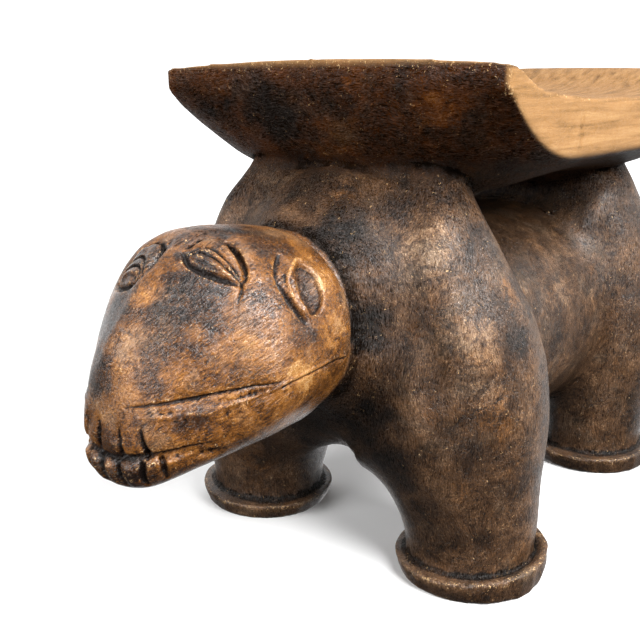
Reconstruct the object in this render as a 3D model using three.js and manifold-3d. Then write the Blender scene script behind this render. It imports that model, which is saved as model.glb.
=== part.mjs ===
// Carved wooden stool in the form of a standing animal, cut from one block.
// Millimetres, +Z up. The animal looks along -Y and its left side is +X.
// The origin is on the floor, in the middle of the stool's length and width.
import * as THREE from 'three';
import { LoftGeometry } from 'three/addons/geometries/LoftGeometry.js';
import { mergeVertices } from 'three/addons/utils/BufferGeometryUtils.js';
import Module from 'manifold-3d';

// Feet: low round discs under the four legs, a little wider at the edge than at the floor
const FRONT_FEET_X = 83.5;
const FRONT_FEET_Y = -36;
const HIND_FEET_X = 70;
const HIND_FEET_Y = 181;
const FOOT_RADIUS = 46;
const FOOT_BASE_RADIUS = 43.5;
const FOOT_EDGE_HEIGHT = 12;
const FOOT_TOP_HEIGHT = 23;

// Arches: each pair of legs and what joins it above, swept from one ankle to the other
// round a pivot that lies low between the legs.
// A station is [angle from level, inner radius, outer radius, middle in y, half depth]
const ARCH_PIVOT_Z = 20;
const ARCH_POWER = 2.1;
const FORELEGS_AND_SHOULDERS = [
  [0, 44, 121, -36, 38],
  [18, 42, 129, -37, 42],
  [34, 43, 152, -40, 47],
  [48, 43, 179, -43, 50],
  [58, 42, 198, -49, 48],
  [66, 42, 215, -54, 42],
  [71, 42, 238, -51, 35],
  [78, 41, 250, -46, 30],
  [90, 40, 252, -44, 29],
];
const HIND_LEGS_AND_HAUNCHES = [
  [0, 33, 107, 181, 37],
  [18, 34, 115, 182, 39],
  [34, 36, 138, 184, 42],
  [48, 37, 170, 185, 45],
  [58, 38, 195, 182, 46],
  [66, 38, 217, 171, 49],
  [71, 38, 238, 173, 42],
  [78, 38, 250, 181, 35],
  [90, 38, 252, 185, 32],
];

// Trunk and neck. A station is [y, half width, top, bottom]
const TRUNK = [
  [-40, 80, 199, 62],
  [30, 86, 203, 50],
  [100, 88, 202, 45],
  [150, 88, 198, 50],
  [195, 80, 191, 60],
];
const NECK = [
  [-140, 44, 204, 118],
  [-118, 48, 210, 112],
  [-104, 53, 216, 104],
  [-88, 62, 228, 92],
  [-72, 71, 242, 80],
  [-55, 76, 244, 72],
];

// Seat: a slab with a raised lip at both ends and a long shallow dip between them
const SEAT_FRONT_Y = -88;
const SEAT_BACK_Y = 233;
const SEAT_HALF_WIDTH = 120;
const SEAT_CORNER_RADIUS = 7;
const SEAT_CROWN = 4;
// Top of the side edge, as [distance from the end, height]
const SEAT_EDGE_TOP = [
  [0, 298], [14, 295.5], [21, 292], [28, 289], [38, 286], [60, 283.8], [85, 282], [110, 281],
];
// Underside along the middle, as [distance from the end, height]
const SEAT_BELLY_UNDER = [
  [0, 288], [10, 262.5], [25, 240], [45, 226.5], [70, 220.5], [110, 225], [161, 229],
];
// Underside at the side edges: its height at a lip and past it, the length over which it falls
// from the lip and how steeply, and how full the section is between the edges
const SEAT_LIP_UNDER = 288;
const SEAT_EDGE_UNDER = 249;
const SEAT_UNDER_RUN = 91;
const SEAT_EDGE_FALL = 2.25;
const SEAT_UNDER_POWER = 2.5;

// Head: an egg with a blunt muzzle. A station is
// [y, half width, top, bottom, height of the widest place, power above it, power below it]
const HEAD = [
  [-116, 39, 193, 134, 165, 2.0, 2.0],
  [-126, 59, 213, 116, 166, 2.1, 2.0],
  [-140, 61.5, 217, 109, 163, 2.15, 2.1],
  [-160, 62.5, 219, 109, 159, 2.1, 2.2],
  [-185, 60, 219, 109, 152, 2.0, 2.3],
  [-205, 47, 207, 105, 146, 1.85, 2.4],
  [-220, 34, 187, 101, 139, 1.85, 2.5],
  [-230, 27, 171, 101, 130, 1.9, 2.4],
  [-236.5, 20, 152, 105, 126, 1.95, 2.3],
  [-239.5, 15, 138, 108, 124, 2.0, 2.1],
  [-241, 8, 131, 117, 124, 2.0, 2.0],
];

// Eyes, seen from above: a leaf from the inner to the outer corner, with a deep groove under the
// brow and two shallow ones that leave the folds of the lids between them.
// A groove is [how far it bows back, how far the bow leans to the inner corner, radius].
// The right eye sits a little nearer the middle and further down than the left one.
const EYE_INNER = [10, -195];
const EYE_OUTER = [42, -185.5];
const RIGHT_EYE_SHIFT = [-8, -14];
const EYE_GROOVES = [[18, 0.62, 2.3], [8, 0.75, 1.2], [-5, 1, 1.7]];

// Ears, seen from the side: a leaf-shaped hollow with a raised rim and a groove in front of it
const EAR_MIDDLE = [-153.5, 192.5];
const EAR_HOLLOW_HALF = [7.5, 12.5];
const EAR_HOLLOW_DEPTH = 3.5;
const EAR_RIM_HALF = [9.5, 14];
const EAR_RIM_RADIUS = 1.9;
const EAR_GROOVE_HALF = [13.5, 16.5];
const EAR_GROOVE_RADIUS = 1.7;
const EAR_LEAN = 10;

// Muzzle: the crease of the upper lip on each side, the mouth and the gaps between the teeth
const LIP_CREASE = [[-236, 146], [-228, 148.5], [-212, 149], [-193, 150], [-174, 152]];
const LIP_CREASE_RADIUS = 1.7;
const MOUTH_HEIGHT = 122.5;
const MOUTH_CORNER_Y = -204;
const MOUTH_RADIUS = 2;
const UPPER_TEETH = [138, 125];
const LOWER_TEETH = [118, 106];
const TEETH_GAPS_X = [-21, -13, -3, 8, 18];
const TEETH_GAP_RADIUS = 1.2;

const ALONG_X = new THREE.Vector3(1, 0, 0);
const ALONG_Y = new THREE.Vector3(0, 1, 0);
const ALONG_Z = new THREE.Vector3(0, 0, 1);

const wasm = await Module();
wasm.setup();

function solidOf(geometry) {
  const bare = new THREE.BufferGeometry().copy(geometry);
  bare.deleteAttribute('normal');
  bare.deleteAttribute('uv');
  const merged = mergeVertices(bare, 1e-4);
  return new wasm.Manifold(new wasm.Mesh({
    numProp: 3,
    vertProperties: new Float32Array(merged.attributes.position.array),
    triVerts: new Uint32Array(merged.index.array),
  }));
}

function geometryOf(solid) {
  const mesh = solid.getMesh();
  const geometry = new THREE.BufferGeometry();
  geometry.setAttribute('position', new THREE.BufferAttribute(new Float32Array(mesh.vertProperties), 3));
  geometry.setIndex(new THREE.BufferAttribute(new Uint32Array(mesh.triVerts), 1));
  return geometry;
}

// Value of one column of a list of stations at any place between them, on a smooth curve
function along(stations, place, column) {
  const last = stations.length - 1;
  const forward = Math.sign(stations[last][0] - stations[0][0]);
  let i = 0;
  while (i < last - 1 && stations[i + 1][0] * forward < place * forward) {
    i += 1;
  }
  const start = stations[i];
  const end = stations[i + 1];
  const before = stations[Math.max(i - 1, 0)];
  const after = stations[Math.min(i + 2, last)];
  const span = end[0] - start[0];
  const t = (place - start[0]) / span;
  const slopeIn = (end[column] - before[column]) / (end[0] - before[0]);
  const slopeOut = (after[column] - start[column]) / (after[0] - start[0]);
  return (2 * t ** 3 - 3 * t ** 2 + 1) * start[column] + (t ** 3 - 2 * t ** 2 + t) * span * slopeIn
    + (3 * t ** 2 - 2 * t ** 3) * end[column] + (t ** 3 - t ** 2) * span * slopeOut;
}

// Signed power of a cosine or sine: a circle of power 2 is an ellipse, of more is squarer
function bend(value, power) {
  return Math.sign(value) * Math.abs(value) ** (2 / power);
}

// Closed ring round a middle, in the plane of two directions
function ring(middle, across, up, halfAcross, halfUp, power, steps) {
  const points = [];
  for (let i = 0; i < steps; i += 1) {
    const angle = (i / steps) * 2 * Math.PI;
    const point = middle.clone();
    point.addScaledVector(across, halfAcross * bend(Math.cos(angle), power));
    point.addScaledVector(up, halfUp * bend(Math.sin(angle), power));
    points.push(point);
  }
  return points;
}

function loft(rings) {
  return solidOf(new LoftGeometry(rings, { closed: true, capStart: true, capEnd: true }));
}

function arch(stations) {
  const rings = [];
  const steps = 18;
  const turns = 24;
  const [, ankleIn, ankleOut, ankleY, ankleDepth] = stations[0];
  const ankleX = (ankleIn + ankleOut) / 2;
  const ankleHalf = (ankleOut - ankleIn) / 2;
  const ankle = (side) => ring(new THREE.Vector3(side * ankleX, ankleY, FOOT_EDGE_HEIGHT / 2),
    ALONG_X.clone().multiplyScalar(side), ALONG_Y, ankleHalf, ankleDepth, ARCH_POWER, steps);
  rings.push(ankle(1));
  for (let i = 0; i <= turns; i += 1) {
    const angle = (i / turns) * 180;
    const station = Math.min(angle, 180 - angle);
    const [inner, outer, y, halfDepth] = [1, 2, 3, 4].map((column) => along(stations, station, column));
    const radians = THREE.MathUtils.degToRad(angle);
    const out = new THREE.Vector3(Math.cos(radians), 0, Math.sin(radians));
    const middle = out.clone().multiplyScalar((inner + outer) / 2);
    middle.add(new THREE.Vector3(0, y, ARCH_PIVOT_Z));
    rings.push(ring(middle, out, ALONG_Y, (outer - inner) / 2, halfDepth, ARCH_POWER, steps));
  }
  rings.push(ankle(-1));
  return loft(rings);
}

function foot(x, y) {
  const profile = [
    [0, 0],
    [FOOT_BASE_RADIUS - 2, 0],
    [FOOT_BASE_RADIUS, 2],
    [FOOT_RADIUS, FOOT_EDGE_HEIGHT - 3],
    [FOOT_RADIUS - 1.5, FOOT_EDGE_HEIGHT],
    [0, FOOT_TOP_HEIGHT],
  ].map(([radius, z]) => new THREE.Vector2(radius, z));
  const geometry = new THREE.LatheGeometry(profile, 26);
  geometry.rotateX(Math.PI / 2);
  geometry.translate(x, y, 0);
  return solidOf(geometry);
}

// Barrel along the animal's length, through stations of [y, half width, top, bottom]
function barrel(stations, lengths, steps) {
  const rings = [];
  const first = stations[0][0];
  const last = stations[stations.length - 1][0];
  for (let i = 0; i <= lengths; i += 1) {
    const y = last + (first - last) * (i / lengths);
    const [halfWidth, top, bottom] = [1, 2, 3].map((column) => along(stations, y, column));
    const middle = new THREE.Vector3(0, y, (top + bottom) / 2);
    rings.push(ring(middle, ALONG_X, ALONG_Z, halfWidth, (top - bottom) / 2, 2.1, steps));
  }
  return loft(rings);
}

function seat() {
  const rings = [];
  const lengths = 26;
  const steps = 12;
  const middleY = (SEAT_FRONT_Y + SEAT_BACK_Y) / 2;
  const halfLength = (SEAT_BACK_Y - SEAT_FRONT_Y) / 2;
  for (let i = 0; i <= lengths; i += 1) {
    const y = middleY + halfLength * Math.cos((i / lengths) * Math.PI);
    const fromEnd = halfLength - Math.abs(y - middleY);
    const fall = 1 - Math.min(fromEnd / SEAT_UNDER_RUN, 1);
    const flatFrom = SEAT_EDGE_TOP[SEAT_EDGE_TOP.length - 1][0];
    const edgeTop = along(SEAT_EDGE_TOP, Math.min(fromEnd, flatFrom), 1);
    const edgeUnder = SEAT_EDGE_UNDER + (SEAT_LIP_UNDER - SEAT_EDGE_UNDER) * fall ** SEAT_EDGE_FALL;
    const bellyUnder = along(SEAT_BELLY_UNDER, fromEnd, 1);
    const corner = SEAT_CORNER_RADIUS - Math.min(fromEnd, SEAT_CORNER_RADIUS);
    const halfWidth = SEAT_HALF_WIDTH - SEAT_CORNER_RADIUS + Math.sqrt(SEAT_CORNER_RADIUS ** 2 - corner ** 2);
    const points = [];
    for (let k = 0; k <= steps; k += 1) {
      const share = 1 - (2 * k) / steps;
      points.push(new THREE.Vector3(halfWidth * share, y, edgeTop + SEAT_CROWN * fall * (1 - share ** 2)));
    }
    for (let k = 0; k <= steps; k += 1) {
      const share = (2 * k) / steps - 1;
      const under = bellyUnder + (edgeUnder - bellyUnder) * Math.abs(share) ** SEAT_UNDER_POWER;
      points.push(new THREE.Vector3(halfWidth * share, y, under));
    }
    rings.push(points);
  }
  return loft(rings);
}

function headSection(y) {
  const [halfWidth, top, bottom, widest, powerAbove, powerBelow] = [1, 2, 3, 4, 5, 6]
    .map((column) => along(HEAD, y, column));
  return { halfWidth, top, bottom, widest, powerAbove, powerBelow };
}

function skull() {
  const rings = [];
  const steps = 30;
  const lengths = 18;
  const back = HEAD[0][0];
  const front = HEAD[HEAD.length - 1][0];
  for (let i = 0; i <= lengths; i += 1) {
    const t = i / lengths;
    const y = back + (front - back) * (0.5 - 0.5 * Math.cos(Math.PI * t));
    const section = headSection(y);
    const points = [];
    for (let k = 0; k < steps; k += 1) {
      const angle = (k / steps) * 2 * Math.PI;
      const above = Math.sin(angle) > 0;
      const power = above ? section.powerAbove : section.powerBelow;
      const rise = above ? section.top - section.widest : section.widest - section.bottom;
      points.push(new THREE.Vector3(
        section.halfWidth * bend(Math.cos(angle), power),
        y,
        section.widest + rise * bend(Math.sin(angle), power),
      ));
    }
    rings.push(points);
  }
  return loft(rings);
}

function insideHead(point) {
  if (point.y > HEAD[0][0] || point.y < HEAD[HEAD.length - 1][0]) {
    return false;
  }
  const section = headSection(point.y);
  const above = point.z > section.widest;
  const rise = above ? section.top - section.widest : section.widest - section.bottom;
  const power = above ? section.powerAbove : section.powerBelow;
  return Math.abs(point.x / section.halfWidth) ** power
    + Math.abs((point.z - section.widest) / rise) ** power < 1;
}

// Where a straight line from outside first meets the head
function onHead(start, direction) {
  const point = start.clone();
  const step = 0.25;
  for (let travelled = 0; travelled < 200 && !insideHead(point); travelled += step) {
    point.addScaledVector(direction, step);
  }
  return point;
}

// Round-bottomed tube along a smooth curve through surface points, to cut with or to add
function bead(points, radius, steps) {
  const section = new THREE.Shape();
  section.absarc(0, 0, radius, 0, 2 * Math.PI);
  return solidOf(new THREE.ExtrudeGeometry(section, {
    extrudePath: new THREE.CatmullRomCurve3(points),
    steps,
    curveSegments: 3,
  }));
}

function eyeGroove(side, bow, lean, radius) {
  const inner = new THREE.Vector2(...EYE_INNER);
  const chord = new THREE.Vector2(...EYE_OUTER).sub(inner);
  if (side < 0) {
    inner.add(new THREE.Vector2(...RIGHT_EYE_SHIFT));
  }
  const back = new THREE.Vector2(-chord.y, chord.x).normalize();
  const points = [];
  const count = 7;
  for (let i = 0; i <= count; i += 1) {
    const share = i / count;
    const plan = inner.clone().addScaledVector(chord, share);
    plan.addScaledVector(back, bow * Math.sin(Math.PI * share ** lean));
    points.push(onHead(new THREE.Vector3(side * plan.x, plan.y, 240), new THREE.Vector3(0, 0, -1)));
  }
  return bead(points, radius, 8);
}

// Point of an ear's outline, by its half sizes and an angle from straight back, up and round to the front
function earPoint(side, halfSizes, degrees) {
  const angle = THREE.MathUtils.degToRad(degrees);
  const outline = new THREE.Vector2(halfSizes[0] * Math.cos(angle), halfSizes[1] * Math.sin(angle));
  outline.rotateAround(new THREE.Vector2(0, 0), THREE.MathUtils.degToRad(-EAR_LEAN));
  const start = new THREE.Vector3(side * 90, EAR_MIDDLE[0] + outline.x, EAR_MIDDLE[1] + outline.y);
  return onHead(start, new THREE.Vector3(-side, 0, 0));
}

function earArc(side, halfSizes, fromDegrees, toDegrees, radius) {
  const points = [];
  const count = 6;
  for (let i = 0; i <= count; i += 1) {
    points.push(earPoint(side, halfSizes, fromDegrees + (toDegrees - fromDegrees) * (i / count)));
  }
  return bead(points, radius, 6);
}

function earHollow(side) {
  const geometry = new THREE.SphereGeometry(1, 14, 8);
  geometry.scale(EAR_HOLLOW_DEPTH, EAR_HOLLOW_HALF[0], EAR_HOLLOW_HALF[1]);
  geometry.rotateX(THREE.MathUtils.degToRad(-EAR_LEAN));
  geometry.rotateY(THREE.MathUtils.degToRad(-side * 30));
  const middle = earPoint(side, [0, 0], 0);
  geometry.translate(middle.x, middle.y, middle.z);
  return solidOf(geometry);
}

function lipCrease(side) {
  const points = LIP_CREASE.map(([y, z]) => onHead(new THREE.Vector3(side * 90, y, z),
    new THREE.Vector3(-side, 0, 0)));
  return bead(points, LIP_CREASE_RADIUS, 5);
}

function mouth() {
  const points = [];
  const reach = 40;
  const count = 12;
  for (let i = 0; i <= count; i += 1) {
    const turn = Math.PI * (i / count);
    const towards = new THREE.Vector3(-Math.cos(turn), 1.2 * Math.sin(turn), 0).normalize();
    const start = new THREE.Vector3(0, MOUTH_CORNER_Y, MOUTH_HEIGHT).addScaledVector(towards, -2 * reach);
    points.push(onHead(start, towards));
  }
  return bead(points, MOUTH_RADIUS, 18);
}

function toothGap(x, [from, to]) {
  const points = [from, (from + to) / 2, to].map((z) => onHead(new THREE.Vector3(x, -260, z), ALONG_Y));
  return bead(points, TEETH_GAP_RADIUS, 2);
}

let head = skull();
for (const side of [-1, 1]) {
  head = head.subtract(earHollow(side));
  head = head.add(earArc(side, EAR_RIM_HALF, 110, 250, EAR_RIM_RADIUS));
  head = head.subtract(earArc(side, EAR_GROOVE_HALF, 120, 255, EAR_GROOVE_RADIUS));
  head = head.subtract(lipCrease(side));
  for (const [bow, lean, radius] of EYE_GROOVES) {
    head = head.subtract(eyeGroove(side, bow, lean, radius));
  }
}
head = head.subtract(mouth());
for (const x of TEETH_GAPS_X) {
  head = head.subtract(toothGap(x, UPPER_TEETH)).subtract(toothGap(x, LOWER_TEETH));
}

let block = seat().add(arch(FORELEGS_AND_SHOULDERS)).add(arch(HIND_LEGS_AND_HAUNCHES));
block = block.add(barrel(TRUNK, 7, 26)).add(barrel(NECK, 8, 28)).add(head);
for (const side of [-1, 1]) {
  block = block.add(foot(side * FRONT_FEET_X, FRONT_FEET_Y));
  block = block.add(foot(side * HIND_FEET_X, HIND_FEET_Y));
}

// Set the origin in the middle of the stool's length and width, on the floor
const carved = geometryOf(block);
carved.computeBoundingBox();
const { min, max } = carved.boundingBox;
carved.translate(-(min.x + max.x) / 2, -(min.y + max.y) / 2, -min.z);

const stool = new THREE.Mesh(carved, new THREE.MeshStandardMaterial({
  color: '#5a3d28',
  roughness: 0.5,
  metalness: 0,
}));
stool.name = 'stool';

const group = new THREE.Group();
group.add(stool);

export default group;
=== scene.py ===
import math

import bpy
import numpy as np
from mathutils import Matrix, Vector, bvhtree, noise


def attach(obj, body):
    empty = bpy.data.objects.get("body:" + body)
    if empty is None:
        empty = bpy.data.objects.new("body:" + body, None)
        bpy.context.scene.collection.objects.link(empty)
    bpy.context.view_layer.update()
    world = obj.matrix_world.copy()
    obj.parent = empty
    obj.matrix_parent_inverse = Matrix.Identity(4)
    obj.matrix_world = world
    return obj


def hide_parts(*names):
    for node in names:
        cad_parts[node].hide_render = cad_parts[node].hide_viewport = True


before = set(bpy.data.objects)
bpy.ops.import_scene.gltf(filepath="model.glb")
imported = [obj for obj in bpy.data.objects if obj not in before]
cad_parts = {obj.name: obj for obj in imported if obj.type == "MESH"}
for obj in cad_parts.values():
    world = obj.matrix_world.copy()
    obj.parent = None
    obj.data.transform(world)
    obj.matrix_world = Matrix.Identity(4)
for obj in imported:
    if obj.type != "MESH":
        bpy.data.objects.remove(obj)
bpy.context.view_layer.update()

# The block. The stool is one piece of dense hardwood, hewn with an adze, pared with a knife and
# rubbed smooth by hands and years of use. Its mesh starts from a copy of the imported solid, and
# the facets and joins are evened out as paring and rubbing do, while the arrises stay.
MM = 0.001  # lengths are in millimetres until they are written to a mesh
MESH_STEP = 2.0
EVENING_ROUNDS = 60
HEAD_BACK_Y = -105
FOOT_TOP_Z = 26
SEAT_UNDER_Z = 240
SEAT_SEAM_Z = 245
SEAT_SEAM_BEND = 0.0022


def take_up(piece):
    """Makes a piece the only one that is selected, and the active one."""
    bpy.ops.object.select_all(action="DESELECT")
    piece.select_set(True)
    bpy.context.view_layer.objects.active = piece


def read_points(piece):
    flat = np.empty(len(piece.data.vertices) * 3)
    piece.data.vertices.foreach_get("co", flat)
    return flat.reshape(-1, 3) / MM


def write_points(piece, points):
    piece.data.vertices.foreach_set("co", (points * MM).ravel())
    piece.data.update()


def read_normals(piece):
    flat = np.empty(len(piece.data.vertices) * 3, np.float32)
    piece.data.vertex_normals.foreach_get("vector", flat)
    return flat.reshape(-1, 3).astype(float)


def read_edges(piece):
    flat = np.empty(len(piece.data.edges) * 2, np.int32)
    piece.data.edges.foreach_get("vertices", flat)
    return flat.reshape(-1, 2)


def rise(value, low, high):
    """Smooth step from 0 at low to 1 at high."""
    share = np.clip((value - low) / (high - low), 0, 1)
    return share * share * (3 - 2 * share)


def rub(values, edges, share, rounds):
    """Each round moves every point's values by its share towards the mean of its neighbours."""
    values = values.copy()
    count = len(values)
    neighbours = np.bincount(edges.ravel(), minlength=count)
    for _ in range(rounds):
        for column in values.T:
            total = np.bincount(edges[:, 0], column[edges[:, 1]], count)
            total += np.bincount(edges[:, 1], column[edges[:, 0]], count)
            column += share * (total / neighbours - column)
    return values


def spread(values, edges, rounds):
    """Each round lifts every point's value to the highest of its neighbours."""
    values = values.copy()
    for _ in range(rounds):
        lifted = values.copy()
        np.maximum.at(lifted, edges[:, 0], values[edges[:, 1]])
        np.maximum.at(lifted, edges[:, 1], values[edges[:, 0]])
        values = lifted
    return values


stool = bpy.data.objects.new("carved_stool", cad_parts["stool"].data.copy())
bpy.context.scene.collection.objects.link(stool)
take_up(stool)
bpy.ops.object.mode_set(mode="EDIT")
bpy.ops.mesh.select_all(action="SELECT")
bpy.ops.mesh.remove_doubles(threshold=0.01 * MM)
bpy.ops.object.mode_set(mode="OBJECT")
hewn = stool.modifiers.new("hewn", "REMESH")
hewn.mode = "VOXEL"
hewn.voxel_size = MESH_STEP * MM
bpy.ops.object.modifier_apply(modifier="hewn")
trued = stool.modifiers.new("trued", "SHRINKWRAP")
trued.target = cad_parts["stool"]
bpy.ops.object.modifier_apply(modifier="trued")

points = read_points(stool)
normals = read_normals(stool)
edges = read_edges(stool)
x, y, z = points.T
on_head = 1 - rise(y, HEAD_BACK_Y - 6, HEAD_BACK_Y + 6)
on_foot = 1 - rise(z, FOOT_TOP_Z - 6, FOOT_TOP_Z + 4)
on_seat = rise(z, SEAT_UNDER_Z - 8, SEAT_UNDER_Z + 12)
# The seam, where the body meets the seat's belly, hangs lower towards the sides
below_seat = SEAT_SEAM_Z - SEAT_SEAM_BEND * x * x - z
soft = rise(below_seat, 4, 11) * rise(z, 36, 56) * rise(y, HEAD_BACK_Y - 3, HEAD_BACK_Y + 9)
at_seat = 1 - rise(abs(below_seat), 5, 10)
bend = rub(points, edges, 0.5, 8) - points
sharpness = np.linalg.norm(bend, axis=1)
hollowness = (bend * normals).sum(1)
arris = spread(rise(sharpness, 0.5, 1.2) * on_seat, edges, 2)
seam = spread(rise(hollowness, 0.4, 0.9) * (1 - on_foot) * (1 - soft), edges, 1)
arris, seam = rub(np.stack([arris, seam], 1), edges, 0.5, 4).T
cleft = rub((rise(hollowness, 0.6, 1.3) * at_seat)[:, None], edges, 0.5, 2)[:, 0]
share = 0.5 * (1 - 0.94 * arris) * (1 - 0.6 * seam) * (1 - 0.95 * on_foot) * (1 - 0.7 * on_head)
share *= 1 - 0.9 * seam * at_seat
pared = rub(points, edges, share, EVENING_ROUNDS)
# Rubbing draws the wood in, so what it took away is put back, evened out too
for _ in range(2):
    pared += rub(points - pared, edges, share, EVENING_ROUNDS)
write_points(stool, pared)

# The soft hollows. Where neck, trunk and legs meet, the carver left no corners, and the wood
# fills each hollow a little.
HOLLOWING_ROUNDS = 5
for _ in range(HOLLOWING_ROUNDS):
    points = read_points(stool)
    normals = read_normals(stool)
    missing = ((rub(points, edges, 0.5, EVENING_ROUNDS) - points) * normals).sum(1)
    filled = 1.4 * np.clip(missing, 0, None) * soft
    write_points(stool, points + filled[:, None] * normals)

# The feet. Each is a disc with a crisp upper arris, nicked by wear, and none of them is quite
# level: its rim leans by a few millimetres towards x and y, and is lifted as a whole.
FOOT_RADIUS = 46
FOOT_RIM_Z = 12


def unevenness(points, size, seed):
    """Smooth noise from about -1 to 1 with bumps of that size in millimetres."""
    shift = Vector((seed * 17.3, seed * 5.9, seed * 11.1))
    return np.array([noise.noise(Vector(p) / size + shift) for p in points])


points = read_points(stool)
for middle, lean, lift in (((83.5, -32), (3.4, 2.6), 3), ((-83.5, -32), (-1.5, 1), 0.5),
                           ((70, 185), (1.5, 1), 1), ((-70, 185), (-1, -1.5), 0.5)):
    outwards = points[:, :2] - middle
    away = np.linalg.norm(outwards, axis=1)
    outwards /= np.maximum(away, 1)[:, None]
    rim = np.hypot(away - FOOT_RADIUS, points[:, 2] - FOOT_RIM_Z) < 1.7
    points[rim, :2] = middle + FOOT_RADIUS * outwards[rim]
    points[rim, 2] = FOOT_RIM_Z
    higher = (lift + outwards @ lean) * rise(away, 34, 44) * (away < FOOT_RADIUS + 1)
    points[:, 2] += higher * rise(points[:, 2], 3, 11) * (1 - rise(points[:, 2], 16, 30))
    worn = 0.9 * unevenness(points, 11, 3) * (abs(away - FOOT_RADIUS) < 4) * (points[:, 2] < 24)
    points[:, :2] += worn[:, None] * outwards
write_points(stool, points)

# The hand's unevenness. The knife left it all a few tenths of a millimetre uneven, and a
# shallow cut runs along the seams, deepest where the body meets the seat.
points = read_points(stool)
normals = read_normals(stool)
wander = 0.7 * unevenness(points, 48, 1) + 0.35 * unevenness(points, 17, 2)
wander = wander * (1 - 0.6 * arris) * (1 - on_foot) - 1.2 * seam * (1 - at_seat) - 1.4 * cleft
points += wander[:, None] * normals
points[:, 2] = np.maximum(points[:, 2], 0)
write_points(stool, points)


# The density of the mesh. There are fewer points where the wood is plain, and more where the
# knife worked finely. Each region is a box or two round its part.
def plain_body(x, y, z):
    return (y > -90) & (z > 28) & (z < 247)


def plain_seat(x, y, z):
    return (abs(x) < 108) & (y > -66) & (y < 219) & (z > 247)


def plain_ends(x, y, z):
    return (abs(x) < 104) & ((y < -66) | (y > 219)) & (z > 250) & (z < 288)


def undersides(x, y, z):
    return z < 1


def eyes_and_lips(x, y, z):
    near_eye = (x > 6) & (x < 46) & (y > -199) & (y < -168) & (z > 182)
    far_eye = (x > -40) & (x < 5) & (y > -213) & (y < -182) & (z > 180)
    lips = (y > -236) & (y < -168) & (abs(x) > 8) & (abs(z - 153.6 - (y + 180) * 0.162) < 5)
    scored = (y > -169) & (y < -110) & (abs(x) > 30) & (abs(z - 154.6) < 3)
    return near_eye | far_eye | lips | scored


def ears_and_teeth(x, y, z):
    ears = (abs(x) > 33) & (y > -168) & (y < -136) & (z > 176) & (z < 210)
    teeth = (y < -206) & (z > 102) & (z < 141)
    return ears | teeth


def select_faces(piece, wanted):
    """Leaves the piece in edit mode with the faces selected whose middles are wanted."""
    middles = np.empty(len(piece.data.polygons) * 3, np.float32)
    piece.data.polygons.foreach_get("center", middles)
    chosen = wanted(*(middles.reshape(-1, 3).T / MM))
    take_up(piece)
    bpy.ops.object.mode_set(mode="EDIT")
    bpy.ops.mesh.select_mode(type="FACE")
    bpy.ops.mesh.select_all(action="DESELECT")
    bpy.ops.object.mode_set(mode="OBJECT")
    piece.data.polygons.foreach_set("select", chosen)
    bpy.ops.object.mode_set(mode="EDIT")


for plain, kept in ((plain_body, 0.14), (plain_seat, 0.1), (plain_ends, 0.3), (undersides, 0.05)):
    select_faces(stool, plain)
    bpy.ops.mesh.decimate(ratio=kept)
    bpy.ops.object.mode_set(mode="OBJECT")
for fine, cuts in ((eyes_and_lips, 2), (ears_and_teeth, 1)):
    select_faces(stool, fine)
    bpy.ops.mesh.subdivide(number_cuts=cuts)
    bpy.ops.object.mode_set(mode="OBJECT")

# The carving. The eyes, ears, lips and teeth are cut with a knife point and a narrow gouge.
# A line is drawn in the view that shows it best, as (y, z) from the animal's side, (x, y) from
# above, (x, z) from in front or (degrees, z) round the muzzle, and is laid on the wood.
MUZZLE_AXIS_Y = -200
points = read_points(stool)
normals = read_normals(stool)
relief = np.zeros(len(points))
hollowed = np.zeros(len(points))
surface = bvhtree.BVHTree.FromObject(stool, bpy.context.evaluated_depsgraph_get())


def sight(view, a, b, side):
    """Start and direction of the line of sight through a place in a view."""
    if view == "side":
        return (300 * side, a, b), (-side, 0, 0)
    if view == "top":
        return (a * side, b, 400), (0, 0, -1)
    if view == "front":
        return (a * side, -400, b), (0, 1, 0)
    turn = math.radians(a) * side
    way = (-math.sin(turn), math.cos(turn), 0)
    return (-200 * way[0], MUZZLE_AXIS_Y - 200 * way[1], b), way


def laid(view, places, side=1, shift=(0, 0), spacing=0.4):
    """Evenly spaced points on a smooth curve through places that are laid on the wood."""
    found = []
    for a, b in places:
        start, way = sight(view, a + shift[0], b + shift[1], side)
        found.append(surface.ray_cast(Vector(start) * MM, Vector(way))[0] / MM)
    found = np.array(found)
    ends = 2 * found[0] - found[1], 2 * found[-1] - found[-2]
    found = np.vstack([ends[0], found, ends[1]])
    curve = []
    for before, start, end, after in zip(found, found[1:], found[2:], found[3:]):
        t = np.linspace(0, 1, 24, endpoint=False)[:, None]
        curve.append(start + t * (end - before) / 2
                     + t ** 2 * (before - 2.5 * start + 2 * end - after / 2)
                     + t ** 3 * (1.5 * start - before / 2 - 1.5 * end + after / 2))
    curve = np.vstack(curve + [found[-2:-1]])
    lengths = np.concatenate([[0], np.cumsum(np.linalg.norm(np.diff(curve, axis=0), axis=1))])
    even = np.linspace(0, lengths[-1], max(3, int(lengths[-1] / spacing)))
    return np.stack([np.interp(even, lengths, column) for column in curve.T], 1)


# Each tool leaves its own profile. It runs from -1 to 1 across the line.
def gouge(u):
    """A round-bottomed channel."""
    return -np.clip(1 - u * u, 0, 1) ** 1.4


def scoop(u):
    """A cut with a steep wall on the upper side of the line and a gentle one below it."""
    return -np.where(u < 0, np.clip(1 + 2.4 * u, 0, 1), np.clip(1 - u, 0, 1)) ** 1.2


def knife(u):
    """A V-shaped nick."""
    return -np.clip(1 - abs(u), 0, 1)


def fold(u):
    """A soft ridge that is left standing."""
    return np.clip(1 - u * u, 0, 1) ** 2


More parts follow.
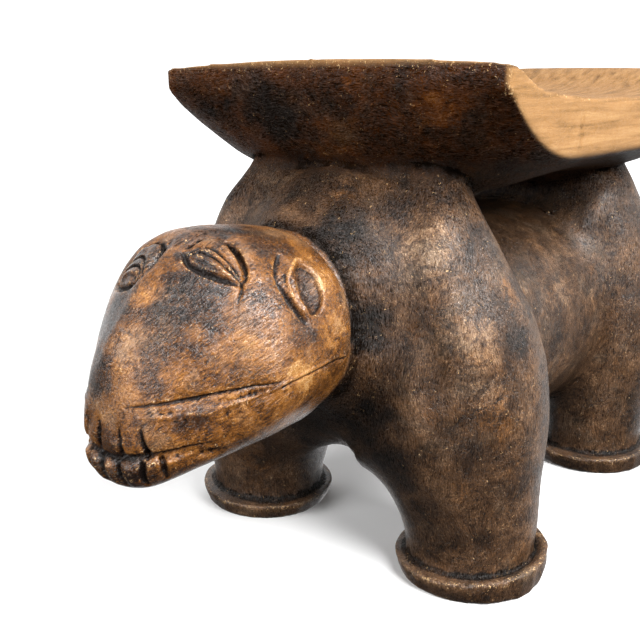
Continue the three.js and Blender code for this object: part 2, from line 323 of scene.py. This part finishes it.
def carve(shape, line, half_width, depth, side=1):
    """Cuts or raises the wood along a line. Widths and depths change evenly from end to end,
    and side -1 mirrors the profile for a line that is laid on the animal's right."""
    half_widths = np.atleast_1d(half_width)
    depths = np.atleast_1d(depth)
    reach = half_widths.max()
    within = (points > line.min(0) - reach) & (points < line.max(0) + reach)
    near = np.flatnonzero(np.all(within, axis=1))
    spot = points[near]
    squares = (spot ** 2).sum(1)[:, None] + (line ** 2).sum(1) - 2 * spot @ line.T
    nearest = squares.argmin(1)
    along = np.gradient(line, axis=0)
    along /= np.linalg.norm(along, axis=1)[:, None]
    offset = spot - line[nearest]
    sideways = np.cross(along[nearest], normals[near])
    sideways /= np.linalg.norm(sideways, axis=1)[:, None]
    across = side * (offset * sideways).sum(1)
    past = abs((offset * along[nearest]).sum(1))
    lift = abs((offset * normals[near]).sum(1))
    share = nearest / (len(line) - 1)
    widths = np.interp(share, np.linspace(0, 1, len(half_widths)), half_widths)
    deep = np.interp(share, np.linspace(0, 1, len(depths)), depths)
    fade = (1 - rise(past, 0.3, 0.3 + widths)) * (lift < reach + 1)
    relief[near] += deep * shape(across / widths) * fade


def dish(middle, half_sizes, lean, depth, wall, side):
    """Hollows out an ellipse that is drawn in the side view, with a wall of that share."""
    turn = math.radians(lean)
    y = points[:, 1] - middle[0]
    z = points[:, 2] - middle[1]
    away = np.hypot((y * math.cos(turn) + z * math.sin(turn)) / half_sizes[0],
                    (z * math.cos(turn) - y * math.sin(turn)) / half_sizes[1])
    facing = side * normals[:, 0] > 0.2
    hollowed[facing] += depth * (1 - rise(away, 1 - wall, 1))[facing]


# The eyes: a deep cut under the brow, three folds of the lids, and a cut below them. The far
# eye sits a little lower and nearer the middle than the near one.
for side, shift in ((1, (0, 0)), (-1, (-8, -14))):
    brow = laid("top", [(9, -187), (9.5, -180), (13, -175.5), (18, -172.8), (25, -172.2),
                        (32, -174.3), (37, -177), (39, -179), (40, -182.5)], side, shift)
    carve(scoop, brow, [1.8, 3, 3.6, 3.4, 2.6, 1.4], [1.2, 3.4, 4.2, 4, 2.8, 1.2], side)
    upper_lid = laid("top", [(12, -190), (14.6, -183.8), (21, -178.9), (29, -177.9),
                             (35.5, -179)], side, shift)
    carve(fold, upper_lid, 2.4, [0.2, 0.8, 0.9, 0.8, 0.4], side)
    second_cut = laid("top", [(12, -191), (17, -185), (22.3, -182.3), (28.2, -181.9),
                              (33.8, -181.4), (39, -182)], side, shift)
    carve(scoop, second_cut, 1.7, [0.8, 2.4, 2.7, 2.4, 0.8], side)
    third_cut = laid("top", [(13.5, -191.8), (17.6, -187.9), (24.3, -185.6), (30.8, -184.7),
                             (36.5, -183.1), (39.6, -182.4)], side, shift)
    carve(scoop, third_cut, 1.5, [0.6, 2, 2.3, 2, 0.8], side)
    lower_lid = laid("top", [(13.3, -192.2), (19.4, -189.4), (27.6, -187.6), (35, -185.3)],
                     side, shift)
    carve(fold, lower_lid, 1.9, [0.3, 1, 1, 0.4], side)
    below = laid("top", [(11, -192), (15.5, -194.4), (19.3, -194.4), (25, -192.7),
                         (29.8, -190.2), (36, -187), (40.4, -183.4)], side, shift)
    carve(gouge, below, [1.8, 2.4, 2.6, 2.2, 1.4], [1.4, 3.4, 3.4, 2.4, 0.8], side)
corner = laid("side", [(-182, 199.4), (-185, 196), (-188, 192), (-190.5, 186.5)])
carve(gouge, corner, 1.3, [1, 1, 0.5, 0.2])

for side in (1, -1):
    # The ear: a leaf-shaped hollow inside a raised rim, with a cut in front of the rim
    dish((-149, 192), (8, 12), -22, 2.4, 0.12, side)
    front_rim = laid("side", [(-141, 203.8), (-147, 205.2), (-155.5, 202), (-160, 197),
                              (-161.3, 191.3), (-160, 186), (-157, 181.5)], side)
    carve(fold, front_rim, 2, [0.6, 1, 1.2, 1.2, 0.9, 0.4], side)
    back_rim = laid("side", [(-140, 201), (-138.8, 195), (-140, 189.5), (-146.5, 183.5),
                             (-154.6, 179.4)], side)
    carve(fold, back_rim, 1, [0.1, 0.2, 0.2, 0.2, 0.1], side)
    before_rim = laid("side", [(-153.5, 208), (-162.3, 202.3), (-165.2, 196.9), (-164.6, 189.9),
                               (-161.6, 182.5), (-159.3, 178.2)], side)
    carve(gouge, before_rim, [1.3, 2, 2.2, 2, 1.3], [1, 2.6, 3.2, 2.8, 1.4], side)

    # The upper lip: a steep crease, a flat band below it, a scored line that runs on to the
    # back of the head, and faint ripples across the band
    crease = laid("side", [(-232.5, 146), (-224.4, 148.1), (-211.7, 149.7), (-202.5, 151.9),
                           (-191.2, 153.8), (-179.6, 154.4)], side)
    carve(scoop, crease, [1.2, 2, 2.4, 2, 1.2], [0.6, 2, 2.4, 2.2, 0.6], side)
    band = laid("side", [(-231, 141.8), (-213.4, 142.4), (-198.8, 146.2), (-183.7, 150.6),
                         (-176, 153.6)], side)
    carve(fold, band, 1.6, [0.2, 0.9, 1, 0.8, 0.4], side)
    scored = laid("side", [(-178, 153.2), (-173.5, 154.1), (-152.7, 155.9), (-135.8, 156.5),
                           (-116, 154.4)], side)
    carve(fold, scored, 1.5, [0.7, 0.6, 0.5, 0.4], side)
    carve(knife, scored - (0, 0, 1.6), 1.2, [0.8, 0.6, 0.5, 0.3], side)
    for along_lip in (0, 0.14, 0.3, 0.44, 0.6, 0.78, 0.95):
        top_y = -225 + 26 * along_lip
        top_z = 145 - 8 * along_lip
        ripple = laid("side", [(top_y, top_z), (top_y + 1.6, top_z - 3.5),
                               (top_y + 0.6, top_z - 7)], side)
        carve(gouge, ripple, 1.7, [0.3, 0.6, 0.2], side)

# The mouth is one long cut round the muzzle, and the teeth are notched into its two edges
mouth = laid("round", [(-97, 129), (-85, 128), (-58, 125.4), (-37, 123.4), (-17, 121.8),
                       (0, 120.8), (17, 121.8), (37, 123.4), (58, 125.4), (85, 128), (97, 129)])
carve(scoop, mouth, [1.6, 2.6, 5, 5, 2.6, 1.6], [0.6, 1.8, 2.6, 2.6, 1.8, 0.6])
for side in (1, -1):
    lower_lip = laid("round", [(50, 118.5), (66, 121), (84, 124.8), (97, 127)], side)
    carve(fold, lower_lip, 1.6, [0.4, 0.8, 0.8, 0.3], side)
for top_x, low_x in ((-26, -26), (-15.3, -16.5), (-3.4, -5), (9.3, 10.6), (20.5, 22)):
    gap = laid("front", [(top_x, 138), ((top_x + low_x) / 2, 131), (low_x, 123.5)])
    carve(gouge, gap, [0.7, 1.8, 2.5], [0.6, 2.2, 2.8])
for top_x, low_x in ((-22, -18), (-14, -11), (-4.5, -1.5), (7.5, 9.5), (20, 17.5)):
    gap = laid("front", [(top_x, 118.5), ((top_x + low_x) / 2, 112), (low_x, 107)])
    carve(gouge, gap, [2.2, 2.4, 1.6], [2.8, 2.8, 1.4])
corner_gap = laid("round", [(48, 120.5), (49, 115.5), (50.5, 110.5)])
carve(gouge, corner_gap, [2, 2.4, 1.6], [2.6, 2.6, 1.2])
for top_x, low_x in ((-17, -14), (-9, -6), (1.5, 4), (13.5, 13.5)):
    tooth = laid("front", [(top_x, 117.5), ((top_x + low_x) / 2, 112), (low_x, 107.5)])
    carve(fold, tooth, 4, [1.2, 1.4, 0.8])

# A crack in the side of the seat
crack = laid("side", [(5, 273), (4.4, 266), (4.6, 260), (3.4, 253)])
carve(gouge, crack, [1.2, 2, 2, 1.2], [0.4, 1, 1, 0.4])

# The crest of the nose wanders to the animal's right on its way down
crest = laid("front", [(4, 214), (3, 207), (1, 203), (0, 198), (-0.5, 187), (-1, 181), (-4, 173),
                       (-6, 162), (-7, 150)])
carve(fold, crest, 9, [0, 0.9, 1.3, 1.3, 1.1, 0])


# The shoulder bulges over the leg, with a ridge above, and a valley parts it from the chest
def swell(middle, radius, height):
    """Raises a soft round bulge, or sinks a hollow where the height is negative."""
    away = np.linalg.norm(points - middle, axis=1)
    relief[:] += height * (1 - rise(away, 0, radius))


for side in (1, -1):
    swell((101 * side, -74, 159), 32, 3.5)
    swell((62 * side, -93, 163), 30, -3.5)
    ridge = laid("side", [(-64, 230), (-68, 220), (-73, 209), (-77, 195), (-78, 176)], side)
    carve(fold, ridge, [10, 22, 24, 22, 12], [1, 3.5, 4.5, 3.5, 1])
    valley = laid("side", [(-83, 172), (-85.5, 158), (-87, 143), (-87.5, 127), (-87, 110)], side)
    carve(gouge, valley, [5, 10, 12, 11, 6], [0.5, 4, 5, 3.6, 0.5])

write_points(stool, points + (relief - hollowed)[:, None] * normals)
stool.data.polygons.foreach_set("use_smooth", np.ones(len(stool.data.polygons), bool))

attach(stool, "root")
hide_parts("stool")

# The skin's stains and wear, with some painted shade and highlight. Smoke, oil and hands have
# turned the wood nearly black in the hollows, helped there by painted shade, and left it brown
# where it is touched. The head is the most polished part, the neck is dull, and the seat's top and
# sides are worn bare. Each is an attribute of the mesh's points.
NAPE_Y = -109
SEAT_RIM_Z = 302
points = read_points(stool)
normals = read_normals(stool)
edges = read_edges(stool)
x, y, z = points.T
edge_lengths = np.linalg.norm(points[edges[:, 0]] - points[edges[:, 1]], axis=1)
mean_length = np.bincount(edges.ravel(), np.repeat(edge_lengths, 2)) / np.bincount(edges.ravel())
turned = ((rub(points, edges, 0.5, 6) - points) * normals).sum(1) / mean_length
turned = rub(turned[:, None], edges, 0.5, 2)[:, 0]

head = 1 - rise(y, NAPE_Y - 2.5, NAPE_Y)
behind_head = rise(y, NAPE_Y - 2, NAPE_Y)
seat = rise(z, SEAT_UNDER_Z - 2, SEAT_UNDER_Z + 10)
neck = behind_head * (1 - rise(y + 0.25 * abs(x), -84, -66)) * rise(z, 60, 90)
# Dull wood on the neck, and a band from 206 mm up that the tone also draws darker: painted shade
# under the seat
dull_and_shaded = np.maximum(0.7 * neck, rise(z, 206, 230))
top_face = rise(normals[:, 2], 0.72, 0.9) * rise(z, 268, 276)
side_face = rise(abs(normals[:, 0]), 0.6, 0.85) * rise(abs(x), 111, 116) * rise(z, 243, 252)
rim = rise(z, SEAT_RIM_Z - 5, SEAT_RIM_Z - 2) * rise(-y, 80, 84)
bare = np.maximum(np.maximum(0.8 * top_face, side_face), 0.5 * rim)

# Dirt and painted shade darken the hollows and the carving, less along the seat's seam, and
# painted shade darkens the groove behind the head. Wear takes the arrises and the seat's rim.
near_seam = 1 - rise(abs(SEAT_SEAM_Z - SEAT_SEAM_BEND * x * x - z), 6, 12)
# Concave places, carved cuts and the ear's hollow are drawn darker: partly dirt, partly painted
# shade
grime_and_shade = np.maximum(rise(turned, 0.05, 0.3), rise(-relief, 0.8, 2) * head)
grime_and_shade = np.maximum(grime_and_shade, 0.5 * rise(hollowed, 1, 2.4))
grime_and_shade *= 1 - 0.55 * near_seam * (1 - head)
# A strip in the groove behind the head is drawn dark: painted shade where the head overhangs the
# neck
shade_in_nape = 0.6 * behind_head * (1 - rise(y, NAPE_Y + 2, NAPE_Y + 13)) * rise(z, 100, 110)
grime_and_shade = np.maximum(grime_and_shade, shade_in_nape)
wear = np.maximum(rise(-turned, 0.08, 0.35),
                  rise(z, SEAT_RIM_Z - 9.5, SEAT_RIM_Z - 5) * rise(-y, 82, 86))

# Patches of darker, lighter and rustier skin, as (place, radius, strength); a few are painted
# light and shade
patches = {
    "dark": (((26, -152, 213), 22, 0.7), ((2, -180, 213), 22, 0.6), ((-15, -216, 179), 22, 1.2),
             ((-12, -229, 158), 18, 1.2), ((-14, -203, 200), 20, 1.2), ((27, -199, 196), 25, 0.95),
             ((44, -189, 189), 14, 0.6), ((60, -163, 175), 14, 0.7), ((22, -214, 176), 18, 0.65),
             ((35, -215, 140), 13, 0.7), ((19, -226, 156), 11, 0.6), ((0, -237, 126), 13, 0.6),
             ((-6, -235, 110), 14, 0.9), ((13, -232, 111), 14, 0.9), ((115, -53, 154), 13, 1),
             ((60, -80, 74), 26, 0.8), ((105, -62, 39), 15, 0.5), ((-34, -78, 272), 34, 0.7),
             ((-90, -77, 276), 20, 0.5), ((54, -100, 161), 18, 0.9), ((54, -85, 111), 18, 0.7),
             ((78, -79, 164), 10, 0.8), ((97, -45, 250), 16, 0.6), ((5, -71, 83), 24, 0.6),
             ((-39, -69, 64), 22, 0.4), ((28, -95, 210), 26, 0.8), ((-3, -81, 230), 22, 0.5),
             # The last three dark spots, along the crack in the seat's side, are painted shade in
             # the crack
             ((104, -76, 96), 18, 0.6), ((87, -75, 50), 20, 0.5), ((120, 5, 270), 4, 2),
             ((120, 4, 262), 4, 2), ((120, 3, 254), 4, 2)),
    # The first two tan patches, on the shoulder's ridge and bulge, are painted highlights
    "tan": (((73, -80, 203), 26, 0.6), ((98, -78, 160), 24, 0.6), ((3, -223, 177), 7, 0.4),
            ((5, -228, 164), 8, 0.4), ((62, -166, 154), 14, 0.9), ((48, -199, 145), 10, 0.7),
            ((61, -141, 173), 13, 0.8), ((53, -140, 193), 9, 0.6), ((6, -209, 196), 7, 0.6),
            ((108, -44, 178), 9, 0.9), ((107, -63, 163), 7, 0.8), ((111, -69, 124), 15, 0.6),
            ((97, -74, 152), 12, 0.6), ((24, -84, 289), 5, 0.9), ((79, -78, 276), 16, 0.8),
            ((122, -42, 103), 8, 0.5), ((82, 79, 155), 14, 0.7), ((86, 121, 141), 12, 0.6),
            ((63, -67, 207), 10, 0.6), ((17, -78, 231), 10, 0.5), ((54, -78, 274), 8, 0.5)),
    "rust": (((72, -88, 159), 9, 1), ((89, -86, 130), 7, 1), ((86, -86, 118), 8, 1),
             ((112, -71, 113), 17, 0.9), ((108, -45, 180), 9, 0.8), ((52, -192, 162), 14, 0.7),
             ((20, -84, 225), 14, 0.6), ((17, -80, 262), 18, 0.8), ((-59, -67, 45), 16, 0.8),
             ((30, -230, 128), 12, 0.7), ((100, -76, 72), 10, 0.6)),
}
ragged = unevenness(points, 9, 4)
skin_parts = {"head": head, "seat": seat, "dull_and_shaded": dull_and_shaded, "bare": bare, "grime_and_shade": grime_and_shade, "wear": wear}
for name, places in patches.items():
    skin_parts[name] = np.zeros(len(points))
    for middle, radius, strength in places:
        away = np.linalg.norm(points - middle, axis=1) / radius + 0.5 * ragged
        skin_parts[name] += strength * (1 - rise(away, 0.3, 1.1))
# The raised edges of the ears and eyelids are rubbed light
skin_parts["tan"] += 0.9 * head * rise(relief, 0.5, 1) * (y > -168) * (z > 178)
for name, amount in skin_parts.items():
    layer = stool.data.attributes.new(name, "FLOAT", "POINT")
    layer.data.foreach_set("value", np.clip(amount, 0, 1))


def linear(hex_colour):
    """Linear colour of an sRGB hex value."""
    shares = [int(hex_colour[i:i + 2], 16) / 255 for i in (1, 3, 5)]
    return tuple(s / 12.92 if s < 0.04045 else ((s + 0.055) / 1.055) ** 2.4 for s in shares) + (1,)


# Dark tropical hardwood, pared, oiled and rubbed by hand. The eye sees a mottled brown skin
# with fine fibres, broad soft highlights with broken edges, and bare tan wood on the seat.
wood = bpy.data.materials.new("rubbed_hardwood")
wood.use_nodes = True
tree = wood.node_tree
tree.nodes.clear()


def add(kind, inputs=None, **settings):
    """Adds a node. An input is given a value or is linked from another node's output."""
    node = tree.nodes.new("ShaderNode" + kind)
    for name, value in settings.items():
        setattr(node, name, value)
    for name, value in (inputs or {}).items():
        if isinstance(value, bpy.types.NodeSocket):
            tree.links.new(value, node.inputs[name])
        else:
            node.inputs[name].default_value = value
    return node


amounts = {}
for name in skin_parts:
    amounts[name] = add("Attribute", attribute_name=name).outputs["Fac"]

# Patterns on the wood, in millimetres: clouds of stain, drifts of hue, blotches, curls and specks
place = add("TexCoord").outputs["Object"]
place = add("VectorMath", {0: place, "Scale": 1000}, operation="SCALE").outputs[0]
swirl = add("TexNoise", {"Vector": place, "Scale": 1 / 30, "Detail": 1}).outputs["Color"]
swirl = add("VectorMath", {0: swirl, 1: (0.5, 0.5, 0.5)}, operation="SUBTRACT").outputs[0]
swirled = add("VectorMath", {0: swirl, 1: (12, 12, 12), 2: place},
              operation="MULTIPLY_ADD").outputs[0]
cloud = add("TexNoise", {"Vector": swirled, "Scale": 1 / 26, "Detail": 4,
                         "Roughness": 0.6}).outputs["Fac"]
hue = add("TexNoise", {"Vector": swirled, "Scale": 1 / 19, "Detail": 3,
                       "Roughness": 0.6}).outputs["Color"]
hue = add("SeparateColor", {0: hue})
blotch = add("TexNoise", {"Vector": swirled, "Scale": 1 / 7, "Detail": 4, "Roughness": 0.65,
                          "Distortion": 0.8}).outputs["Fac"]
curl = add("TexNoise", {"Vector": swirled, "Scale": 1 / 1.8, "Detail": 3, "Roughness": 0.7,
                        "Distortion": 2.2}).outputs["Fac"]
speck = add("TexNoise", {"Vector": place, "Scale": 1 / 1.5, "Detail": 2,
                         "Distortion": 1.2}).outputs["Fac"]

# The fibres run down the body, across the seat's front, along its top and obliquely over the
# head. Real ones are a few tenths of a millimetre wide, and are drawn near a whole one to show.
stretch = add("VectorMath", {0: amounts["seat"], 1: (-0.75, -0.75, 0.75), 2: (1, 1, 0.25)},
              operation="MULTIPLY_ADD").outputs[0]
stretch = add("VectorMath", {0: amounts["bare"], 1: (0.75, -0.15, 0), 2: stretch},
              operation="MULTIPLY_ADD").outputs[0]
lengthways = add("VectorMath", {0: swirled, 1: stretch}, operation="MULTIPLY").outputs[0]
grain = add("TexNoise", {"Vector": lengthways, "Scale": 1 / 0.75, "Detail": 1,
                         "Distortion": 1}).outputs["Fac"]
oblique = add("Mapping", {"Vector": place, "Rotation": (math.radians(28), 0, math.radians(-24)),
                          "Scale": (1, 6, 1)}, vector_type="TEXTURE").outputs[0]
strokes = add("TexNoise", {"Vector": oblique, "Scale": 1 / 0.8, "Detail": 1,
                           "Distortion": 0.5}).outputs["Fac"]
grain = add("Mix", {"Factor": amounts["head"], "A": grain, "B": strokes}).outputs["Result"]
light_fibre = add("MapRange", {"Value": grain, "From Min": 0.56, "From Max": 0.68}).outputs[0]
dark_fibre = add("MapRange", {"Value": grain, "From Min": 0.45, "From Max": 0.34}).outputs[0]
fibre = add("Math", {0: light_fibre, 1: dark_fibre}, operation="SUBTRACT").outputs[0]
worn_off = add("Math", {0: amounts["bare"], 1: -0.65, 2: 1}, operation="MULTIPLY_ADD").outputs[0]
fibre = add("Math", {0: fibre, 1: worn_off}, operation="MULTIPLY").outputs[0]
fleck = add("MapRange", {"Value": curl, "From Min": 0.36, "From Max": 0.64,
                         "To Min": -1}).outputs[0]

# Short curly threads, light and dark, follow the level lines of a noise, broken up by specks
threads = []
for size, shift in ((3.4, 0), (4.6, 50)):
    wave = add("VectorMath", {0: swirled, 1: (shift, shift, shift)}).outputs[0]
    wave = add("TexNoise", {"Vector": wave, "Scale": 1 / size, "Detail": 2,
                            "Distortion": 1.4}).outputs["Fac"]
    wave = add("Math", {0: wave, 1: 0.5}, operation="SUBTRACT").outputs[0]
    wave = add("Math", {0: wave}, operation="ABSOLUTE").outputs[0]
    wave = add("MapRange", {"Value": wave, "From Min": 0.008, "From Max": 0.03,
                            "To Min": 1, "To Max": 0}).outputs[0]
    bits = add("MapRange", {"Value": speck, "From Min": 0.5, "From Max": 0.58}).outputs[0]
    threads.append(add("Math", {0: wave, 1: bits}, operation="MULTIPLY").outputs[0])
light_thread, dark_thread = threads

# The edges of every patch are broken up by the blotches and the curls
broken = add("Math", {0: blotch, 1: 1.7, 2: -1.25}, operation="MULTIPLY_ADD").outputs[0]
broken = add("Math", {0: curl, 1: 0.8, 2: broken}, operation="MULTIPLY_ADD").outputs[0]
for name in ("grime_and_shade", "dark", "tan", "rust"):
    amounts[name] = add("Math", {0: amounts[name], 1: broken}).outputs[0]
    amounts[name] = add("MapRange", {"Value": amounts[name], "From Min": 0.15, "From Max": 0.8},
                        interpolation_type="SMOOTHSTEP").outputs[0]

# How light the skin is, from 0 to 1. It takes in painted shade in the hollows, in the nape and
# under the seat, and two painted highlights on the shoulder
tone = add("Math", {0: cloud, 1: 0.8, 2: -0.315}, operation="MULTIPLY_ADD").outputs[0]
for amount, weight in ((blotch, 0.65), (fleck, 0.09), (fibre, 0.13), (amounts["tan"], 0.18),
                       (amounts["dark"], -0.2), (amounts["wear"], 0.08), (amounts["grime_and_shade"], -0.3),
                       (light_thread, 0.2), (dark_thread, -0.2), (amounts["dull_and_shaded"], -0.09)):
    tone = add("Math", {0: amount, 1: weight, 2: tone}, operation="MULTIPLY_ADD").outputs[0]

# The bare seat shows the log's long grain, in streaks some 5 mm wide
log = add("VectorMath", {0: place, 1: (1, 0.05, 1)}, operation="MULTIPLY").outputs[0]
figure = add("TexNoise", {"Vector": log, "Scale": 1 / 5, "Detail": 4, "Roughness": 0.65,
                          "Distortion": 0.5}).outputs["Fac"]
figure = add("Math", {0: figure, 1: 1.5, 2: -0.4}, operation="MULTIPLY_ADD").outputs[0]
figure = add("Math", {0: tone, 1: 0.35, 2: figure}, operation="MULTIPLY_ADD").outputs[0]

# The four finishes, each from its darkest to its lightest colour
finishes = {}
for name, lightness, stops in (
        ("body", tone, ((0.1, "#0d0805"), (0.3, "#2e1e12"), (0.48, "#4e3724"), (0.62, "#6b4f38"),
                        (0.8, "#957759"), (1, "#cfb595"))),
        ("head", tone, ((0.08, "#100704"), (0.26, "#3c220d"), (0.44, "#6f4419"), (0.6, "#905e2a"),
                        (0.8, "#b18752"), (1, "#dcbe92"))),
        ("front", tone, ((0.1, "#0e0601"), (0.3, "#301704"), (0.5, "#4b270a"), (0.66, "#643710"),
                         (0.84, "#80572d"), (1, "#c4a078"))),
        ("bare", figure, ((0.1, "#66492c"), (0.3, "#8a6740"), (0.5, "#9b744a"), (0.8, "#ae885b"),
                          (1, "#cfae82")))):
    ramp = add("ValToRGB", {"Fac": lightness})
    marks = ramp.color_ramp.elements
    marks.remove(marks[0])
    for position, hex_colour in stops:
        mark = marks[0] if position == stops[0][0] else marks.new(position)
        mark.position = position
        mark.color = linear(hex_colour)
    finishes[name] = ramp.outputs["Color"]
colour = add("MixRGB", {"Fac": amounts["head"], "Color1": finishes["body"],
                        "Color2": finishes["head"]}).outputs[0]
colour = add("MixRGB", {"Fac": amounts["seat"], "Color1": colour,
                        "Color2": finishes["front"]}).outputs[0]

# Some of the skin is rusty, and some of it is grey with smoke
reddish = add("MapRange", {"Value": hue.outputs[0], "From Min": 0.52, "From Max": 0.68,
                           "To Max": 0.4}).outputs[0]
reddish = add("Math", {0: amounts["rust"], 1: 0.6, 2: reddish},
              operation="MULTIPLY_ADD").outputs[0]
smoky = add("MapRange", {"Value": hue.outputs[1], "From Min": 0.52, "From Max": 0.68,
                         "To Max": 0.3}).outputs[0]
for share, tint in ((reddish, "#8c5a28"), (smoky, "#4d4439")):
    tinted = add("MixRGB", {"Fac": 1, "Color1": colour, "Color2": linear(tint)},
                 blend_type="COLOR").outputs[0]
    colour = add("MixRGB", {"Fac": share, "Color1": colour, "Color2": tinted}).outputs[0]
colour = add("MixRGB", {"Fac": amounts["bare"], "Color1": colour,
                        "Color2": finishes["bare"]}).outputs[0]

# Bright specks where the dark skin is chipped, most of them on the arrises
chipped = add("Math", {0: amounts["wear"], 1: 0.11, 2: speck}, operation="MULTIPLY_ADD").outputs[0]
chipped = add("MapRange", {"Value": chipped, "From Min": 0.7, "From Max": 0.78}).outputs[0]
colour = add("MixRGB", {"Fac": chipped, "Color1": colour, "Color2": linear("#c6a374")}).outputs[0]

# The skin shines softly where hands rub it, and is dull between the fibres and where the hollows
# are darkened by dirt and painted shade. The head has the most wax on it.
rough = add("Math", {0: cloud, 1: 0.2, 2: 0.28}, operation="MULTIPLY_ADD").outputs[0]
for amount, weight in ((amounts["head"], -0.15), (amounts["bare"], 0.2), (amounts["grime_and_shade"], 0.25),
                       (amounts["dull_and_shaded"], 0.2), (fibre, -0.1), (fleck, 0.05)):
    rough = add("Math", {0: amount, 1: weight, 2: rough}, operation="MULTIPLY_ADD").outputs[0]
shine = add("Math", {0: amounts["dull_and_shaded"], 1: -0.35, 2: 0.5}, operation="MULTIPLY_ADD").outputs[0]
for amount, weight in ((amounts["grime_and_shade"], -0.3), (fibre, 0.3), (fleck, -0.15)):
    shine = add("Math", {0: amount, 1: weight, 2: shine}, operation="MULTIPLY_ADD").outputs[0]
polish = add("Math", {0: amounts["head"], 1: 0.2, 2: 0.05}, operation="MULTIPLY_ADD").outputs[0]

# Its surface is uneven by a fraction of a millimetre: broad scrapes, fibres, flecks and pores
height = add("Math", {0: cloud, 1: 2}, operation="MULTIPLY").outputs[0]
for pattern, weight in ((fibre, 0.4), (fleck, 0.2), (blotch, 0.8), (dark_thread, -0.4)):
    height = add("Math", {0: pattern, 1: weight, 2: height}, operation="MULTIPLY_ADD").outputs[0]
bump = add("Bump", {"Height": height, "Distance": 0.22 * MM, "Strength": 1}).outputs["Normal"]

skin = add("BsdfPrincipled", {"Base Color": colour, "Roughness": rough, "Normal": bump,
                              "Specular IOR Level": shine, "Coat Weight": polish,
                              "Coat Roughness": 0.24, "Coat Normal": bump})
add("OutputMaterial", {"Surface": skin.outputs[0]})
stool.data.materials.clear()
stool.data.materials.append(wood)

# The floor is a plain pale sweep of matt paper, lit from within a little more the further it
# is from the stool, so that it runs into the white background without a line.
bpy.ops.mesh.primitive_plane_add(size=12)
floor = bpy.context.object
floor.name = "floor"
floor.visible_diffuse = False
floor.visible_glossy = False
paper = bpy.data.materials.new("pale_paper")
paper.use_nodes = True
tree = paper.node_tree
tree.nodes.clear()
spot = add("TexCoord").outputs["Object"]
far = add("VectorMath", {0: spot}, operation="LENGTH").outputs["Value"]
glow = add("MapRange", {"Value": far, "From Min": 0.45, "From Max": 1.6, "To Min": 0.05,
                        "To Max": 0.9}).outputs[0]
sheet = add("BsdfPrincipled", {"Base Color": linear("#f6f6f6"), "Roughness": 0.9,
                               "Emission Color": linear("#ffffff"), "Emission Strength": glow})
add("OutputMaterial", {"Surface": sheet.outputs[0]})
floor.data.materials.append(paper)

# The studio is dim, so that the hollows stay dark. Behind the stool stands a lit white wall,
# which the smooth wood mirrors at a grazing angle.
world = bpy.data.worlds.new("studio")
bpy.context.scene.world = world
world.use_nodes = True
tree = world.node_tree
tree.nodes.clear()
way = add("TexCoord").outputs["Generated"]
behind = add("VectorMath", {0: way, 1: (-0.4, 0.9, 0.3)}, operation="DOT_PRODUCT").outputs["Value"]
wall = add("MapRange", {"Value": behind, "From Min": 0.3, "From Max": 0.7, "To Min": 0.1,
                        "To Max": 1.4}).outputs[0]
backdrop = add("Background", {"Color": linear("#ffffff"), "Strength": wall})
add("OutputWorld", {"Surface": backdrop.outputs[0]})


# The lights are four softboxes. The key stands high on the animal's left, the front one gives
# the brow and shoulder their highlights, and two weak ones lift the far side and the seat.
def softbox(name, azimuth, elevation, distance, width, height, power):
    """A soft light that looks at the stool. Azimuth 0 is ahead of the head, 90 on its left."""
    turn = math.radians(azimuth)
    up = math.radians(elevation)
    way = Vector((math.sin(turn) * math.cos(up), -math.cos(turn) * math.cos(up), math.sin(up)))
    bpy.ops.object.light_add(type="AREA", location=way * distance + Vector((0, 0, 0.15)))
    lamp = bpy.context.object
    lamp.name = name
    lamp.rotation_euler = way.to_track_quat("Z", "Y").to_euler()
    lamp.data.shape = "RECTANGLE"
    lamp.data.size = width
    lamp.data.size_y = height
    lamp.data.energy = power


softbox("key_softbox", 76, 38, 1.5, 0.9, 0.9, 62)
softbox("front_softbox", -14, 20, 1.6, 1.4, 0.8, 24)
softbox("far_side_softbox", -85, 12, 1.6, 0.4, 0.6, 0.4)
softbox("top_softbox", 180, 82, 1.7, 1.2, 1.2, 4)

# The camera stands 39 degrees to the animal's left of straight ahead and looks 15 degrees
# down, as fitted to the photograph. The plain view transform keeps the white background white.
CAMERA_PLACE = (0.3203, -0.4737, 0.2880)
CAMERA_TILT = 75.19
CAMERA_TURN = 38.82
bpy.ops.object.camera_add(location=CAMERA_PLACE,
                          rotation=(math.radians(CAMERA_TILT), 0, math.radians(CAMERA_TURN)))
camera = bpy.context.object
camera.data.lens = 50
camera.data.sensor_width = 36
bpy.context.scene.camera = camera
bpy.context.scene.view_settings.view_transform = "Standard"
